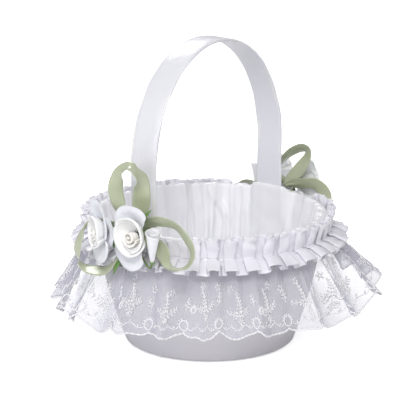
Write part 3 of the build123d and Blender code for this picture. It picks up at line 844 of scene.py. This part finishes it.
class Embroidery(Shape):
    """Raised stitching that lies on the lace, given in millimetres of flat cloth."""

    def pad(self, x, s, length, width, angle, thick=0.7):
        """One satin-stitched leaf or dot."""
        a = np.linspace(0, TAU, 8, endpoint=False)
        px, py = length / 2 * np.cos(a), width / 2 * np.sin(a) * (1 - 0.25 * np.cos(a))
        c, q = math.cos(angle), math.sin(angle)
        u = np.concatenate([x + px * c - py * q, [x, x]]) / CLOTH
        ss = np.concatenate([s + px * q + py * c, [s, s]])
        lift = np.array([0.1] * 8 + [thick, -0.25])[:, None]
        faces = [(i, (i + 1) % 8, 8) for i in range(8)] + [((i + 1) % 8, i, 9) for i in range(8)]
        self.add(lace(u, ss) + lift * lace_normal(u, ss), faces)

    def line(self, x, s, radius=0.4, closed=False):
        u = np.asarray(x, float) / CLOTH
        normal = lace_normal(u, s)
        self.tube(lace(u, s) + 0.12 * normal, radius, 5, closed, up=normal)

    def fern(self, x, s, height, lean, pairs):
        """A stem with leaves in pairs that get smaller to the tip."""
        t = np.linspace(0, 1, 10)
        sx = x + height * (math.sin(lean) * t + 0.12 * np.sin(math.pi * t))
        sy = s - height * math.cos(lean) * t
        self.line(sx, sy, 0.36)
        for k in range(pairs):
            f = (k + 0.7) / pairs
            size = 4.8 * (1 - 0.45 * f)
            cx, cy = np.interp(f, t, sx), np.interp(f, t, sy)
            for hand in (-1, 1):
                angle = -math.pi / 2 + lean + hand * 0.95
                self.pad(cx + 0.58 * size * math.cos(angle), cy + 0.58 * size * math.sin(angle),
                         size, 0.36 * size, angle)
        self.pad(sx[-1], sy[-1] - 1.2, 3.0, 1.3, -math.pi / 2 + lean, 0.45)

    def blossom(self, x, s, radius=2.3):
        for k in range(5):
            a = TAU * k / 5 + 0.3 * x
            self.pad(x + radius * math.cos(a), s + radius * math.sin(a), 1.5 * radius,
                     0.75 * radius, a, 0.6)

    def eyelet(self, x, s, radius):
        """A little ring with picots round its upper side."""
        a = np.linspace(0, TAU, 22, endpoint=False)
        self.line(x + radius * np.cos(a), s + radius * np.sin(a), 0.52, True)
        for k in range(7):
            b = -math.pi * (0.02 + 0.96 * k / 6)
            self.pad(x + (radius + 1.1) * math.cos(b), s + (radius + 1.1) * math.sin(b),
                     2.4, 1.1, b)


def lace_embroidery():
    rng = np.random.default_rng(81)
    work = Embroidery()
    pitch = CLOTH / SCALLOPS
    edge = LACE_LENGTH
    for k in range(SCALLOPS):
        start = k * pitch
        # Eyelet over each dip of the edge, with a garland to the next one.
        work.eyelet(start, edge - 6 - 5.4, 3.9)
        t = np.linspace(0, 1, 26)
        gx = start + 4.6 + (pitch - 9.2) * t
        gs = edge - 9.2 + 1.4 * np.sin(math.pi * t) + 1.5 * np.sin(TAU * 2.5 * t)
        work.line(gx, gs)
        for f in (0.12, 0.3, 0.5, 0.7, 0.88):
            cx, cs = np.interp(f, t, gx), np.interp(f, t, gs)
            work.pad(cx, cs - 1.6, 3.2, 1.4, rng.uniform(-2.2, -0.9))
        # A spray of ferns that fan out from one root, at a height that changes along the lace.
        cx = start + pitch * 0.5 + rng.uniform(-3, 3)
        root = edge - 20.0 + rng.uniform(-4.5, 3.5)
        tilt = rng.uniform(-0.35, 0.35)
        work.fern(cx, root, rng.uniform(15, 19), tilt, 6)
        for lean in (-1.15, 1.15):
            work.fern(cx, root + 0.5, rng.uniform(10, 14), tilt + lean, 4)
        work.fern(cx, root + 1.0, rng.uniform(5, 8), tilt + 2.7 + rng.uniform(-0.5, 0.5), 3)
        work.blossom(cx + rng.uniform(-8, 8), root - rng.uniform(17, 22))
        # Small sprigs and blossoms between the sprays.
        work.fern(start + rng.uniform(-3, 3), edge - rng.uniform(21, 27), rng.uniform(7, 11),
                  rng.uniform(-0.6, 0.6), 3)
        if k % 2:
            work.eyelet(start + rng.uniform(8, 13), edge - rng.uniform(19, 23), 2.4)
        else:
            work.blossom(start + rng.uniform(-4, 4), edge - rng.uniform(36, 42))
    # The corded scalloped edge.
    u = np.linspace(0, 1, SCALLOPS * 44, endpoint=False)
    s = scallop(u)
    bead = 0.68 + 0.2 * np.sin(np.arange(len(u)) * TAU / 4)
    work.tube(lace(u, s), bead, 6, True, up=lace_normal(u, s))
    work.make("lace_embroidery", STITCH, slot="thread")


# ---- ribbon bows
# Both sprays are worked out on the +X side; the near one is turned half round when it is made.
RIBBON_WIDTH = 11.4
# Across and along the ribbons as the front of each spray shows them: the width of a ribbon
# points along a mix of these two and straight up.
ACROSS = {"left": np.array([-0.61, 0.79, 0.0]), "right": np.array([0.61, -0.79, 0.0])}
ALONG = {"left": np.array([0.77, 0.59, 0.245]), "right": np.array([-0.77, -0.59, 0.245])}
UP = np.array([0.0, 0.0, 1.0])
# A loop is a row of stations: place (out, sideways, up), width direction (parts of across,
# along and up) and width scale. The near bow has a top, a right and a low loop; the far bow a
# high, a side and a back one.
LOOPS = {
    "left": (
        ((98, 0, 106.5, 1, 0, 0, 0.35), (101, -3, 118, 0.5, 0.6, 0, 0.7),
         (103, -5.2, 128, 1, 0.2, 0, 0.9), (104, -7, 138, 1, 0.2, 0, 1),
         (105, -4.1, 147.5, 0.8, 0.6, -0.3, 1), (106, 1.5, 155, 0.2, 1, -0.5, 1),
         (107, 9.5, 158, 0, 1, -0.5, 1), (106, 15.5, 154.5, -0.3, 0.9, -0.45, 1),
         (103, 17.5, 148.2, -0.7, 0.7, -0.3, 1), (101.5, 16, 139.9, -1, 0.2, 0, 1.1),
         (100.5, 14.5, 131.3, -1, 0, 0, 1.15), (99.5, 12, 121.7, -1, 0, 0, 0.95),
         (97.5, 1.5, 107, -1, 0, 0, 0.35)),
        ((98, 6, 109, 0, 1, 1, 0.35), (104, 19, 116, 0, 0.8, 0.6, 0.8),
         (107, 36, 121.5, 0, 0.8, 0.6, 0.9), (108, 51, 121, 0, 0.8, 0.5, 1),
         (108.5, 62.5, 114, 0.4, 1, 0.4, 1), (108.5, 67.5, 104, 0.35, 1, 0, 1),
         (107.5, 63, 94, 0.2, 1, 0, 1), (106.5, 52.5, 89, 0, 1, 0, 1),
         (104, 41.5, 91, 0.5, 0.7, 0.35, 1), (101.2, 32.8, 98.8, 0.85, 0.2, 0.5, 0.95),
         (101, 20, 104, 0.8, 0, 0.6, 0.7), (97.5, 5, 107, 0, 1, 0, 0.35)),
        ((98, 3, 108.5, 0, 1, 1, 0.35), (105, -13, 112, 0, 1, 0.6, 0.9),
         (110.5, -27, 110, 0.2, 1, 0.4, 1), (112, -35, 99, 0.5, 1, 0, 1),
         (112.5, -38, 88, 0.5, 1, 0, 1), (112.5, -34, 79, 0, 1, -0.3, 1),
         (112.5, -24, 76.5, 0, 1, -0.5, 1), (112, -9, 79, 0, 1, -0.5, 1),
         (107, 0, 92, 0, 1, -0.3, 0.9), (99, 4, 104, 0, 1, 0, 0.35))),
    "right": (
        ((98, 1, 106, 0, 1, 0, 0.35), (99.5, 3, 114, 0, 0.9, 0.2, 0.7),
         (100.5, 3.2, 121.4, -0.25, 0.85, 0.3, 0.9), (101, -2.9, 129.3, -0.25, 0.85, 0.4, 1),
         (101, -11.8, 135.5, -0.1, 0.85, 0.5, 1), (101, -19.7, 138, 0.2, 0.8, 0.4, 1),
         (101, -24.2, 136, 0.3, 0.95, 0, 1), (100.5, -23, 129, 0.45, 0.85, -0.2, 1),
         (100, -16, 119.5, 0.65, 0.55, -0.5, 0.95), (99, -9.1, 111.5, 0.75, 0.3, -0.6, 0.8),
         (97.5, -3, 106, 0.8, 0, -0.5, 0.35)),
        ((98, -3, 105, 0, 1, 1, 0.35), (101, -12.3, 106.5, 0, 0.6, 0.8, 0.8),
         (101, -21.5, 108.5, 0, 0.6, 0.8, 0.95), (102.5, -30.1, 109, 0.4, 0.6, 0.7, 1),
         (104, -36, 105, 0.7, 0.5, 0.4, 1), (105, -38.9, 98.7, 0.8, 0.5, 0.3, 1),
         (104.5, -37.5, 93.2, 0.5, 0.8, 0, 1), (102, -27.7, 93, 0, 1, 0, 0.9),
         (98, -8, 101, 0, 1, 0, 0.35)),
        ((98, 6, 107, 0, 1, 1, 0.35), (101, 20, 101, 0, 1, 0.3, 0.9),
         (101.5, 37, 100.5, 0, 1, 0.4, 1), (102.5, 48, 95, 0.3, 1, 0, 1),
         (103.5, 48, 86, 0, 1, 0, 1), (104.5, 37, 81.5, 0, 1, 0, 1), (103, 20, 91, 0, 1, 0, 0.9),
         (98, 7, 104, 0, 1, 0, 0.35))),
}


def ribbon(shape, side, stations, seed):
    """One loop of ribbon through its stations, with thicker edges and folded in at its ends."""
    rows = [(*place, *unit(a * ACROSS[side] + b * ALONG[side] + c * UP), scale)
            for *place, a, b, c, scale in stations]
    rows = spline(rows, 90)
    path = rows[:, :3]
    tangent = unit(np.gradient(path, axis=0))
    width = unit(rows[:, 3:6] - (rows[:, 3:6] * tangent).sum(-1, keepdims=True) * tangent)
    normal = np.cross(tangent, width)[:, None]
    scale = np.clip(rows[:, 6:7], 0.1, 2)
    t = np.linspace(-1, 1, 11)
    rib = 0.10 * (np.abs(t) > 0.85)
    pinch = np.clip(1 - scale, 0, 1)
    hump = 1.5 * pinch * np.cos(t * math.pi * 1.5) + 0.35 * (1 - t**2)
    points = (path[:, None] + width[:, None] * (t * RIBBON_WIDTH / 2 * scale)[..., None]
              + normal * (hump + rib)[..., None])
    points += normal * (0.25 * crumple(points, 90 + seed, 22, 5))[..., None]
    shape.sheet(points, 0.34, False, grid(path_length(path)[:, None] / 10, t / 2 + 0.5))


def knot(shape, centre, seed):
    """The pinch of the bow: a short wrap of ribbon round the roots of the loops."""
    phase = np.random.default_rng(seed).uniform(0, 6)
    a = np.linspace(0, TAU, 40, endpoint=False)[:, None]
    x = np.linspace(-1, 1, 9)
    r = 4.1 + 0.5 * (1 - x**2) + 0.22 * np.sin(5 * a + phase) * x
    shape.sheet(grid(centre[0] + 4.2 * x, centre[1] + r * np.cos(a),
                     centre[2] + 0.86 * r * np.sin(a)), 0.6, True)


def binding_place(side):
    """Where a spray's binding starts and ends outward, its middle and its radius."""
    low, high = box_mm(f"{side}_binding")
    near, far = sorted((abs(low[0]), abs(high[0])))
    centre = middle(f"{side}_binding")
    return near, far, abs(centre[1]), centre[2], (high[1] - low[1]) / 2


def bow(side):
    shape = Shape()
    for k, stations in enumerate(LOOPS[side]):
        ribbon(shape, side, stations, k)
    near, _, across, up, _ = binding_place(side)
    knot(shape, (99.5, across, up), 5)
    # The rolled tails run back through the binding to the handle.
    x = np.linspace(near + 0.1, 104.2, 24)
    tails = grid(x, across + 0.15 * np.sin(x), up + 0.15 * np.cos(x))
    shape.tube(tails, 2.4 + 0.12 * np.sin(x * 2.1), 14)
    shape.make(f"{side}_ribbon_bow", SAGE, f"{side}_bow")


def binding(side):
    """Thin covered wire wound round the pinch."""
    near, far, across, up, outer = binding_place(side)
    wire = 0.42
    turns = int((far - near) / (2 * wire))
    t = np.linspace(0, 1, turns * 18)
    path = grid(near + wire + (far - near - 2 * wire) * t,
                across + (outer - 1.0) * np.cos(TAU * turns * t),
                up + (outer - 1.0) * np.sin(TAU * turns * t))
    wound = Shape().tube(path, wire * 1.02, 7, up=(1, 0, 0))
    wound.make(f"{side}_wire_binding", WIRE, f"{side}_binding")


# ---- flowers
class Flower:
    """A flower's own frame: z is the way it faces, y is up."""

    def __init__(self, origin, facing):
        self.origin = np.asarray(origin, float)
        self.z = unit(facing)
        self.x = unit(np.cross([0, 0, 1.0], self.z))
        self.y = np.cross(self.z, self.x)

    def __call__(self, x, y, z):
        x, y, z = np.broadcast_arrays(x, y, z)
        return (self.origin + x[..., None] * self.x + y[..., None] * self.y
                + z[..., None] * self.z)

    def turned(self, r, angle, z):
        return self(r * np.cos(angle), r * np.sin(angle), z)


def cup_petal(flower, shape, centre, span, thick, low, sizes, seed):
    """A foam petal wrapped round the heart of a rose."""
    foot, rim, high, grow, curl, lean_x, lean_y = sizes
    rng = np.random.default_rng(seed)
    u = np.linspace(-1, 1, 34)[:, None]
    v = np.linspace(0, 1, 12)
    angle = centre + u * span / 2
    edge = 1 - 0.22 * np.abs(u) ** 4 + 0.035 * np.sin(3 * u + rng.uniform(0, 6))
    z = low + (high * edge - low) * v
    radius = foot + (rim - foot) * np.sin(v * math.pi / 2) ** 0.8 + grow * u
    radius = radius + curl * smooth((v - 0.7) / 0.3) ** 2
    radius = radius * (1 + 0.02 * np.sin(4 * angle + rng.uniform(0, 6)) * v)
    x = radius * np.cos(angle) + lean_x * v
    y = radius * np.sin(angle) + lean_y * v
    shape.sheet(flower(x, y, z), thick)


def loose_petal(flower, shape, direction, reach, span, low, high, seed):
    """A wide petal behind the rose: a fan that dishes forward and rolls back at its edge."""
    rng = np.random.default_rng(seed)
    u = np.linspace(-1, 1, 36)[:, None]
    v = np.linspace(0, 1, 20)
    edge = 1 - 0.16 * np.abs(u) ** 2.8 + 0.03 * np.sin(4 * u + rng.uniform(0, 6))
    r = 1.5 + (reach * edge - 1.5) * v
    angle = direction + span / 2 * u * (1 - 0.25 * v**2)
    z = low + (high - low) * v**1.7
    z = z + 2.4 * np.abs(u) ** 1.5 * np.sin(math.pi * np.clip(v * 1.1, 0, 1))
    z = z - 2.6 * smooth((v - 0.74) / 0.26) ** 2
    z = z + 0.4 * np.sin(5 * u + rng.uniform(0, 6)) * v
    shape.sheet(flower.turned(r, angle, z), 0.6)


def rose_heart(flower, shape, radius, low, high):
    """The rolled strip at the centre of the rose."""
    t = np.linspace(0, 1, 90)[:, None]
    v = np.linspace(0, 1, 8)
    angle = TAU * 1.9 * t + 0.6
    r = (0.7 + (radius - 0.7) * t) * (0.72 + 0.28 * v) + 0.25 * smooth((v - 0.8) / 0.2) * t
    top = high + 1.2 * (1 - t) + 0.3 * np.sin(angle * 1.3)
    shape.sheet(flower.turned(r, angle, low + (top - low) * v), 1.25)


def sepals(flower, shape, radius, top, count=5, length=4.2, droop=0.35):
    """A green calyx: a small cup with pointed sepals."""
    v = np.linspace(0, 1, 7)
    r = 0.9 + (radius - 0.9) * np.sin(v * math.pi / 2)
    cup = flower.turned(r, round_once(20), top - 2.4 + 2.0 * v**1.6)
    shape.sheet(cup, 0.4, True)
    for k in range(count):
        direction = TAU * (k + 0.3) / count
        u = np.linspace(-1, 1, 5)[:, None]
        t = np.linspace(0, 1, 9)
        side = 1.15 * (1 - t) ** 0.8 * (0.6 + 1.6 * t) * u
        out = radius * 0.7 + length * t * 0.55
        z = top - 0.9 + length * 0.32 * t - droop * 3 * t**2
        c, s = math.cos(direction), math.sin(direction)
        shape.sheet(flower(out * c - side * s, out * s + side * c, z - 0.4 * u**2), 0.3)


def leaf_blade(shape, root, tip, width, facing):
    """A pointed leaf from root to tip, in the spray's frame."""
    root, tip = np.array(root, float), np.array(tip, float)
    length = np.linalg.norm(tip - root)
    along = (tip - root) / length
    side = unit(np.cross(along, facing))
    up = np.cross(side, along)
    t = np.linspace(0, 1, 16)[:, None]
    u = np.linspace(-1, 1, 7)
    half = width / 2 * np.sin(math.pi * t**0.8) ** 0.8 * (1 - 0.25 * t)
    lift = 0.12 * length * np.sin(math.pi * t) + 0.5 * np.abs(u) * half * 0.6
    points = (root + along * (length * t)[..., None] + side * (half * u)[..., None]
              + up * lift[..., None])
    shape.sheet(points, 0.3, uv=grid(t, u / 2 + 0.5))


def spray_point(node):
    """Middle of a node in the spray's own frame, whichever side it is on."""
    p = middle(node)
    return p * [-1, -1, 1] if p[0] < 0 else p


# Petals of the cup: middle and spread (degrees) and thickness. Then, for a rose of 15.5 mm
# radius, the radius at foot and rim, how far forward it comes, how it widens and curls, and its
# lean sideways and up.
FULL_ROSE = 15.5
CUP_PETALS = (
    (215, 250, 1.5, 3.0, 14.0, 3.2, 0.8, 1.0, 0.2, -0.3),
    (35, 235, 1.5, 2.8, 13.2, 4.0, 0.9, 1.0, 0.2, 0.4),
    (330, 150, 1.2, 2.6, 10.8, 1.6, 0.7, 0.5, 0.3, -0.4),
    (255, 130, 1.2, 2.2, 9.2, 0.4, 0.5, 0.4, 0, -1.0),
)
# Loose petals: direction, reach, spread in degrees, and how far forward each comes.
FRONT_PETALS = ((100, 24, 132, 0.5), (254, 29, 104, -1.5), (200, 22, 80, -2.0))
SIDE_PETALS = ((62, 32, 165, 3.0), (160, 26, 90, 0.0), (282, 31, 165, 0.5), (8, 26, 105, -5.0))
FAR_REACH = 0.72    # upward loose petals of the far spray, which stay behind its bow
# Leaves: root, tip, width.
FRONT_LEAVES = (((107, 16, 113), (109, 31.5, 130), 5.0), ((108, 4, 92), (111.5, -3.8, 75.5), 4.5))
SIDE_LEAVES = (((106, -6, 104), (111, 1, 93), 6.0),)


def rose(side, name, seed, petals, leaves):
    node = f"{side}_{name}"
    cup, calyx = spray_point(f"{node}_petals"), spray_point(f"{node}_calyx")
    facing = unit(cup - calyx)
    low, high = box_mm(f"{node}_petals")
    radius = (high[2] - low[2]) / 2
    k = radius / FULL_ROSE
    flower = Flower(cup + facing * 0.2 * radius + (0, 0, 0.12 * radius), facing)
    bottom = -np.linalg.norm(cup - calyx) - 0.2 * radius + 1.3

    heart = Shape()
    centre = Flower(flower.origin - 1.6 * k * flower.y + 0.8 * k * flower.x, facing)
    rose_heart(centre, heart, 0.42 * radius, 0.55 * bottom, 0.20 * radius)
    # The heart uses the cream-tinted foam, which is painted warm shade.
    heart.make(f"{node}_rolled_heart", FOAM_HEART_SHADE, f"{node}_centre", node)

    wrapped = Shape()
    for n, (centre, spread, thick, *sizes) in enumerate(CUP_PETALS):
        cup_petal(flower, wrapped, math.radians(centre), math.radians(spread), thick,
                  bottom + 0.6, [size * k for size in sizes], seed + 1 + n)
    wrapped.make(f"{node}_cup_petals", FOAM_WHITE, f"{node}_petals", node)

    loose = Shape()
    for n, (direction, reach, spread, forward) in enumerate(petals):
        upward = 0 < direction < 180
        reach = reach * (FAR_REACH if side == "right" and upward else 1)
        loose_petal(flower, loose, math.radians(direction), reach * k, math.radians(spread),
                    bottom + 0.5 * n * 0.6, forward * k, seed + 10 + n)
    loose.make(f"{node}_loose_petals", FOAM_PALE, f"{node}_outer_petals", node)

    green = Shape()
    sepals(flower, green, 0.26 * radius, bottom - 0.4)
    for root, tip, width in leaves:
        leaf_blade(green, root, tip, width, flower.z)
    green.make(f"{node}_sepals", LEAF, f"{node}_calyx", node)


def bud(side):
    """A furled bud: one foam sheet rolled into a trumpet, open at the top."""
    node = f"{side}_bud"
    petal, calyx = spray_point(f"{node}_petal"), spray_point(f"{node}_calyx")
    low, high = box_mm(f"{node}_petal")
    axis = unit(petal - calyx)
    flower = Flower(calyx + axis * 1.2, axis + (-0.02, -0.19, 0))
    t = np.linspace(0, 1, 70)[:, None]
    v = np.linspace(0, 1, 18)
    foot, mouth = 1.3, 6.3
    flare = foot + (mouth - foot) * v**0.85 + 0.6 * smooth((v - 0.82) / 0.18) ** 2
    height = (high[2] - low[2]) * (0.80 + 0.22 * np.sin(math.pi * (0.15 + 0.75 * t)))
    rolled = flower.turned(flare * (0.45 + 0.55 * t), TAU * 1.45 * t + 2.2, height * v)
    sheet = Shape().sheet(rolled, 0.9)
    sheet.make(f"{node}_rolled_petal", FOAM_BUD, f"{node}_petal", node, "foam_white")
    green = Shape()
    sepals(Flower(calyx, axis), green, 1.6, 1.4, 3, 1.4, 0.0)
    green.make(f"{node}_sepals", LEAF, f"{node}_calyx", node)


# ---- CAD nodes shown as they are
def dress(node, material):
    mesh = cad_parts[node].data
    mesh.materials.clear()
    mesh.materials.append(material)


outer_cover()
base_cover()
lining()
floor_insert()
handle_sleeve()
heading_tape()
lace_sheet()
lace_embroidery()
pleated_trim()
stitches()
for spray in ("left", "right"):
    bow(spray)
    binding(spray)
    rose(spray, "front_rose", 100, FRONT_PETALS, FRONT_LEAVES)
    rose(spray, "side_rose", 200, SIDE_PETALS, SIDE_LEAVES)
    bud(spray)
dress("tub", TUB)
dress("handle_strip", STRIP)
dress("handle_glue_pads", GLUE)
dress("insert_board", BOARD)
for spray in ("left", "right"):
    for stem in ("front_rose_stem", "side_rose_stem", "bud_stem"):
        dress(f"{spray}_{stem}", WIRE)


# ---- studio
AZIMUTH, ELEVATION, DISTANCE = math.radians(52.5), math.radians(14.2), 1.33
AIM = Vector((0, 0, 0.1045))
SENSOR = 36
LENS_SHARE = 1700 / 416     # focal length as a share of the sensor's width
SHIFT_SHARE = -1.5 / 416


def studio_floor():
    """A plain pale sweep. Seen directly it is near white; it bounces a softer light."""
    mesh = bpy.data.meshes.new("studio_floor")
    size, level = 6.0, -0.0004
    corners = [(-size, -size, level), (size, -size, level), (size, size, level),
               (-size, size, level)]
    mesh.from_pydata(corners, [], [(0, 1, 2, 3)])
    floor = linked("studio_floor", mesh)
    n = Nodes("studio_floor")
    cloud = n.noise(n.mapped(), 3)
    colour = n.ramp(cloud, (0.3, (0.93, 0.93, 0.935)), (0.7, (0.95, 0.95, 0.955)))
    n.finish(Base_Color=colour, Roughness=0.9, Specular_IOR_Level=0.1,
             Emission_Color=(1, 1, 1, 1), Emission_Strength=n.by_view(0.0, 0.62))
    mesh.materials.append(n.owner)


def studio_world():
    """Pale surroundings that are brighter to the camera than to the basket."""
    world = bpy.data.worlds.new("studio")
    bpy.context.scene.world = world
    n = Nodes("studio", world, "Background")
    n.finish(Color=(0.97, 0.97, 1.0, 1), Strength=n.by_view(0.40, 1.1))


def area_light(name, position, aim_height, size, power, colour):
    data = bpy.data.lights.new(name, "AREA")
    data.shape = "DISK"
    data.size, data.energy, data.color = size, power, colour
    lamp = linked(name, data)
    lamp.location = position
    turn = (Vector((0, 0, aim_height)) - Vector(position)).to_track_quat("-Z", "Y")
    lamp.rotation_euler = turn.to_euler()


def camera():
    data = bpy.data.cameras.new("camera")
    data.sensor_width = SENSOR
    data.lens = LENS_SHARE * SENSOR
    data.shift_x = SHIFT_SHARE
    cam = linked("camera", data)
    away = Vector((-math.sin(AZIMUTH) * math.cos(ELEVATION),
                   -math.cos(AZIMUTH) * math.cos(ELEVATION), math.sin(ELEVATION)))
    cam.location = AIM + DISTANCE * away
    cam.rotation_euler = (-away).to_track_quat("-Z", "Y").to_euler()
    bpy.context.scene.camera = cam


studio_floor()
studio_world()
area_light("key", (-2.2, -1.7, 2.6), 0.1, 1.4, 71, (1.0, 0.99, 0.98))
area_light("fill", (-2.9, 0.4, 0.9), 0.1, 1.8, 18, (0.93, 0.93, 1.0))
area_light("back", (1.6, 2.0, 2.3), 0.12, 1.4, 30, (0.97, 0.97, 1.0))
camera()
bpy.context.scene.view_settings.view_transform = "Standard"
